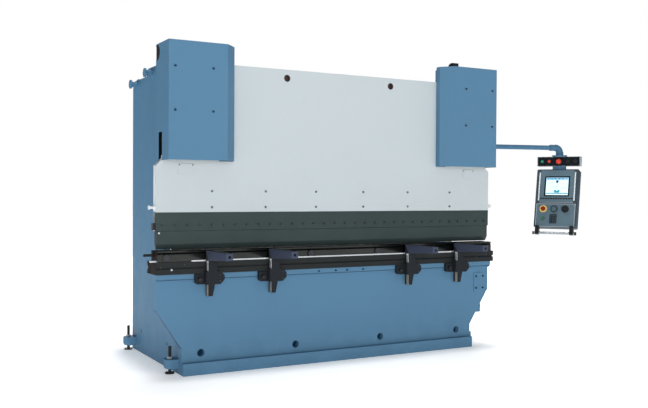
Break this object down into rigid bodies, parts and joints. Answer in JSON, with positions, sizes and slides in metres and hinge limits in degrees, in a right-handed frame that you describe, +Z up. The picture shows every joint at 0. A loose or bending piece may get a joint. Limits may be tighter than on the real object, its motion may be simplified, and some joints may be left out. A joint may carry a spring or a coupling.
{
  "type": "hydraulic press brake",
  "caption": "Free-standing hydraulic press brake that bends sheet metal between a punch on a moving ram and a die on its bed, with front supports and a swinging control pendant.",
  "frame": {"origin": "on the floor, under the middle of the bending line", "axes": "+X along the bend to the operator's right, +Y to the machine's rear, +Z up"},
  "size_m": [4.3458, 1.797, 2.575],
  "materials": {
    "blue_paint": "smooth gloss machine paint",
    "pale_paint": "smooth gloss machine paint",
    "dark_tool_steel": "blackened and oiled",
    "black_steel": "blackened, ground edges",
    "bright_steel": "ground",
    "rod_chrome": "hard chrome, polished",
    "support_paint": "satin dark paint",
    "console_paint": "fine textured paint",
    "header_paint": "fine textured paint",
    "screen": "glossy screen",
    "black_plastic": "matt",
    "red_plastic": "gloss",
    "green_plastic": "gloss",
    "motor_paint": "smooth paint",
    "grey_paint": "smooth paint"
  },
  "bodies": {
    "frame": {"left_side_frame": "blue_paint", "right_side_frame": "blue_paint", "levelling_screws": "black_steel", "lifting_bollards": "blue_paint", "rear_tie_beam": "blue_paint", "bed_plate": "blue_paint", "bed_base_bar": "blue_paint", "bed_top_rail": "blue_paint", "bed_corner_plate": "blue_paint", "bed_fasteners": "bright_steel", "pedal_socket_box": "blue_paint", "bolster": "black_steel", "die_block": "black_steel", "ground_strip": "bright_steel", "die_clamp_screws": "black_steel", "crowning_rod": "black_steel", "hydraulic_cylinders": "motor_paint", "ram_guides": "bright_steel", "left_cylinder_cover": "blue_paint", "right_cylinder_cover": "blue_paint", "cover_brackets": "bright_steel", "cover_screws": "bright_steel", "cover_lead": "black_plastic", "oil_tank": "blue_paint", "tank_filler_cap": "black_plastic", "pump_motor": "motor_paint", "pressure_pipes": "bright_steel", "electrical_cabinet": "grey_paint", "gauge_slideways": "blue_paint"},
    "ram": {"ram_plate": "pale_paint", "clamp_bar": "dark_tool_steel", "clamp_bolts": "dark_tool_steel", "punch": "dark_tool_steel", "ram_screws": "bright_steel", "ram_access_plates": "pale_paint", "ram_side_pins": "bright_steel", "ram_end_sensor": "black_plastic", "piston_rods": "rod_chrome"},
    "front_support_1": {"front_support_1": "support_paint"},
    "front_support_2": {"front_support_2": "support_paint"},
    "front_support_3": {"front_support_3": "support_paint"},
    "front_support_4": {"front_support_4": "support_paint"},
    "gauge": {"gauge_beam": "grey_paint"},
    "finger_left": {"gauge_finger_left": "bright_steel"},
    "finger_right": {"gauge_finger_right": "bright_steel"},
    "door": {"cabinet_door": "grey_paint"},
    "arm": {"pendant_arm": "blue_paint"},
    "head": {"header_box": "header_paint", "console_housing": "console_paint", "console_screen": "screen", "console_handle": "bright_steel"},
    "header_start_button": {"header_start_button": "green_plastic"},
    "header_stop_button": {"header_stop_button": "red_plastic"},
    "header_mushroom": {"header_mushroom": "red_plastic"},
    "header_mode_selector": {"header_mode_selector": "black_plastic"},
    "header_key_selector": {"header_key_selector": "black_plastic"},
    "console_estop": {"console_estop": "red_plastic"},
    "console_ring_dial": {"console_ring_dial": "grey_paint"},
    "console_round_knob": {"console_round_knob": "black_plastic"},
    "console_green_button": {"console_green_button": "green_plastic"}
  },
  "joints": [
    {"name": "ram_slide", "type": "slide", "parent": "frame", "child": "ram", "axis": [0, 0, 1], "range_m": [0, 0.2]},
    {"name": "front_support_1_slide", "type": "slide", "parent": "frame", "child": "front_support_1", "axis": [1, 0, 0], "range_m": [-0.15, 0.15]},
    {"name": "front_support_2_slide", "type": "slide", "parent": "frame", "child": "front_support_2", "axis": [1, 0, 0], "range_m": [-0.15, 0.15]},
    {"name": "front_support_3_slide", "type": "slide", "parent": "frame", "child": "front_support_3", "axis": [1, 0, 0], "range_m": [-0.15, 0.15]},
    {"name": "front_support_4_slide", "type": "slide", "parent": "frame", "child": "front_support_4", "axis": [1, 0, 0], "range_m": [-0.15, 0.15]},
    {"name": "gauge_slide", "type": "slide", "parent": "frame", "child": "gauge", "axis": [0, 1, 0], "range_m": [-0.18, 0.25]},
    {"name": "finger_left_slide", "type": "slide", "parent": "gauge", "child": "finger_left", "axis": [1, 0, 0], "range_m": [-0.3, 0.3]},
    {"name": "finger_right_slide", "type": "slide", "parent": "gauge", "child": "finger_right", "axis": [1, 0, 0], "range_m": [-0.3, 0.3]},
    {"name": "cabinet_door_hinge", "type": "hinge", "parent": "frame", "child": "door", "pos_m": [1.6303, 1.168, 1.07], "axis": [0, 0, 1], "range_deg": [0, 110]},
    {"name": "pendant_arm_hinge", "type": "hinge", "parent": "frame", "child": "arm", "pos_m": [1.61, 0.23, 1.867], "axis": [0, 0, 1], "range_deg": [-65, 30]},
    {"name": "pendant_head_hinge", "type": "hinge", "parent": "arm", "child": "head", "pos_m": [2.527, 0, 1.794], "axis": [0, 0, 1], "range_deg": [-80, 80]},
    {"name": "header_start_button_push", "type": "slide", "parent": "head", "child": "header_start_button", "axis": [0.848, 0.5299, 0], "range_m": [0, 0.004], "stiffness_N_per_m": 600},
    {"name": "header_stop_button_push", "type": "slide", "parent": "head", "child": "header_stop_button", "axis": [0.848, 0.5299, 0], "range_m": [0, 0.004], "stiffness_N_per_m": 600},
    {"name": "header_mushroom_push", "type": "slide", "parent": "head", "child": "header_mushroom", "axis": [0.848, 0.5299, 0], "range_m": [0, 0.006], "stiffness_N_per_m": 600},
    {"name": "header_mode_selector_turn", "type": "hinge", "parent": "head", "child": "header_mode_selector", "pos_m": [2.54155, -0.09688, 1.7322], "axis": [-0.848, -0.5299, 0], "range_deg": [-45, 45]},
    {"name": "header_key_selector_turn", "type": "hinge", "parent": "head", "child": "header_key_selector", "pos_m": [2.57987, -0.15821, 1.7322], "axis": [-0.848, -0.5299, 0], "range_deg": [-45, 45]},
    {"name": "console_estop_push", "type": "slide", "parent": "head", "child": "console_estop", "axis": [0.8263, 0.5163, -0.225], "range_m": [0, 0.006], "stiffness_N_per_m": 600},
    {"name": "console_ring_dial_turn", "type": "hinge", "parent": "head", "child": "console_ring_dial", "pos_m": [2.39903, -0.06313, 1.26495], "axis": [-0.8263, -0.5163, 0.225], "range_deg": [-150, 150]},
    {"name": "console_round_knob_turn", "type": "hinge", "parent": "head", "child": "console_round_knob", "pos_m": [2.45589, -0.15413, 1.26495], "axis": [-0.8263, -0.5163, 0.225], "range_deg": [-150, 150]},
    {"name": "console_green_button_push", "type": "slide", "parent": "head", "child": "console_green_button", "axis": [0.8263, 0.5163, -0.225], "range_m": [0, 0.004], "stiffness_N_per_m": 600}
  ]
}
